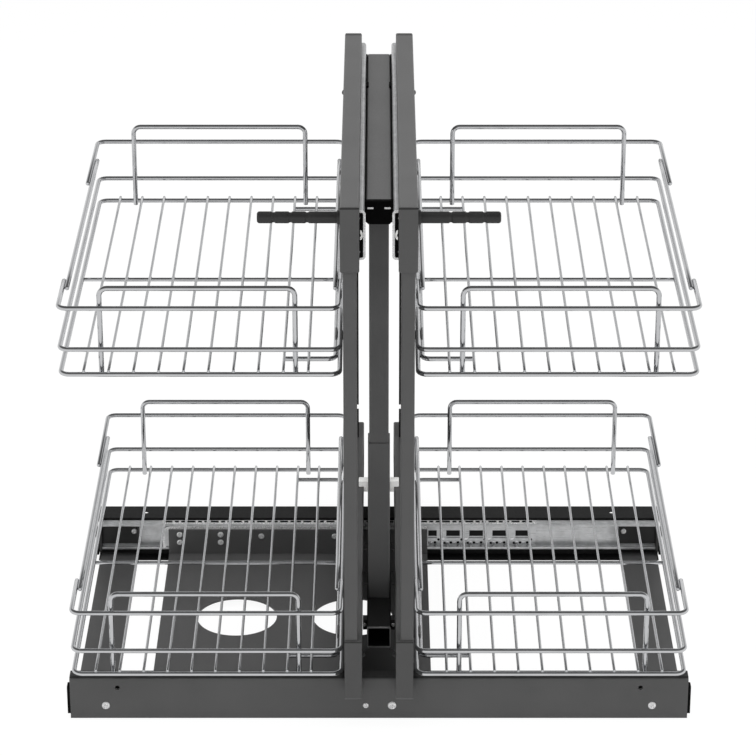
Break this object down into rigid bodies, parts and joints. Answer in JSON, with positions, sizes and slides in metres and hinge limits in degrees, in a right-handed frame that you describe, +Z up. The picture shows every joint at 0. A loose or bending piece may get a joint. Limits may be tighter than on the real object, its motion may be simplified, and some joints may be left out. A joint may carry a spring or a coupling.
{
  "type": "pull out cabinet basket",
  "caption": "Corner cabinet pull-out: a floor frame with a sideways ball-bearing carriage, a mast, and wire baskets on frames that pull out on telescopic slides.",
  "frame": {"origin": "on the cabinet floor, under the middle of the front beam", "axes": "+X along the beams, -Y towards the user, the way the baskets pull out, +Z up"},
  "size_m": [0.666, 0.58, 0.593],
  "materials": {
    "coated_beam": "dark grey powder coat, satin",
    "coated_frame": "grey powder coat, satin",
    "coated_connector": "grey powder coat on a cast corner, satin",
    "chrome_wire": "bright plated wire",
    "galvanised_steel": "rolled galvanised strip",
    "zinc_steel": "bright zinc plate",
    "black_plastic": "moulded, fine matt grain",
    "white_nylon": "moulded"
  },
  "bodies": {
    "base": {"front_beam": "coated_beam", "rear_beam": "coated_beam", "side_rails": "coated_beam", "beam_end_caps": "black_plastic", "tracks": "galvanised_steel", "track_end_stops": "black_plastic", "base_screws": "zinc_steel"},
    "track_cage": {"track_cages": "zinc_steel", "track_balls": "zinc_steel"},
    "carriage": {"carriage_plate": "coated_beam", "runners": "galvanised_steel", "carriage_screws": "zinc_steel", "mast_feet": "coated_beam", "mast_bottom_rail": "coated_frame", "mast_top_rail": "coated_frame", "mast_posts": "coated_frame", "mast_sleeves": "coated_frame", "mast_end_plugs": "black_plastic", "guide_blocks": "white_nylon", "front_guides": "black_plastic", "left_outer_member": "galvanised_steel", "right_outer_member": "galvanised_steel"},
    "left_pullout": {"left_inner_member": "galvanised_steel", "left_top_rail": "coated_frame", "left_bottom_rail": "coated_frame", "left_front_post": "coated_frame", "left_rear_post": "coated_frame", "left_top_connector": "coated_connector", "left_bottom_connector": "coated_connector", "left_handle": "black_plastic", "left_frame_screws": "zinc_steel", "left_basket_hooks": "coated_frame", "left_lower_floor": "chrome_wire", "left_lower_rim": "chrome_wire", "left_lower_guards": "chrome_wire", "left_upper_floor": "chrome_wire", "left_upper_rim": "chrome_wire", "left_upper_guards": "chrome_wire"},
    "left_outer_cage": {"left_outer_cage": "zinc_steel"},
    "left_middle": {"left_middle_member": "galvanised_steel"},
    "left_inner_cage": {"left_inner_cage": "zinc_steel"},
    "right_pullout": {"right_inner_member": "galvanised_steel", "right_top_rail": "coated_frame", "right_bottom_rail": "coated_frame", "right_front_post": "coated_frame", "right_rear_post": "coated_frame", "right_top_connector": "coated_connector", "right_bottom_connector": "coated_connector", "right_handle": "black_plastic", "right_frame_screws": "zinc_steel", "right_basket_hooks": "coated_frame", "right_lower_floor": "chrome_wire", "right_lower_rim": "chrome_wire", "right_lower_guards": "chrome_wire", "right_upper_floor": "chrome_wire", "right_upper_rim": "chrome_wire", "right_upper_guards": "chrome_wire"},
    "right_outer_cage": {"right_outer_cage": "zinc_steel"},
    "right_middle": {"right_middle_member": "galvanised_steel"},
    "right_inner_cage": {"right_inner_cage": "zinc_steel"}
  },
  "joints": [
    {"name": "carriage_slide", "type": "slide", "parent": "base", "child": "carriage", "axis": [1, 0, 0], "range_m": [-0.02, 0.19]},
    {"name": "track_cage_slide", "type": "slide", "parent": "base", "child": "track_cage", "axis": [1, 0, 0], "range_m": [-0.01, 0.095]},
    {"name": "left_pull", "type": "slide", "parent": "carriage", "child": "left_pullout", "axis": [0, -1, 0], "range_m": [0, 0.45]},
    {"name": "left_outer_cage_slide", "type": "slide", "parent": "carriage", "child": "left_outer_cage", "axis": [0, -1, 0], "range_m": [0, 0.1125]},
    {"name": "left_middle_slide", "type": "slide", "parent": "carriage", "child": "left_middle", "axis": [0, -1, 0], "range_m": [0, 0.225]},
    {"name": "left_inner_cage_slide", "type": "slide", "parent": "carriage", "child": "left_inner_cage", "axis": [0, -1, 0], "range_m": [0, 0.3375]},
    {"name": "right_pull", "type": "slide", "parent": "carriage", "child": "right_pullout", "axis": [0, -1, 0], "range_m": [0, 0.45]},
    {"name": "right_outer_cage_slide", "type": "slide", "parent": "carriage", "child": "right_outer_cage", "axis": [0, -1, 0], "range_m": [0, 0.1125]},
    {"name": "right_middle_slide", "type": "slide", "parent": "carriage", "child": "right_middle", "axis": [0, -1, 0], "range_m": [0, 0.225]},
    {"name": "right_inner_cage_slide", "type": "slide", "parent": "carriage", "child": "right_inner_cage", "axis": [0, -1, 0], "range_m": [0, 0.3375]}
  ],
  "couplings": [
    {"joint": "track_cage_slide", "follows": "carriage_slide", "ratio": 0.5},
    {"joint": "left_outer_cage_slide", "follows": "left_pull", "ratio": 0.25},
    {"joint": "left_middle_slide", "follows": "left_pull", "ratio": 0.5},
    {"joint": "left_inner_cage_slide", "follows": "left_pull", "ratio": 0.75},
    {"joint": "right_outer_cage_slide", "follows": "right_pull", "ratio": 0.25},
    {"joint": "right_middle_slide", "follows": "right_pull", "ratio": 0.5},
    {"joint": "right_inner_cage_slide", "follows": "right_pull", "ratio": 0.75}
  ]
}
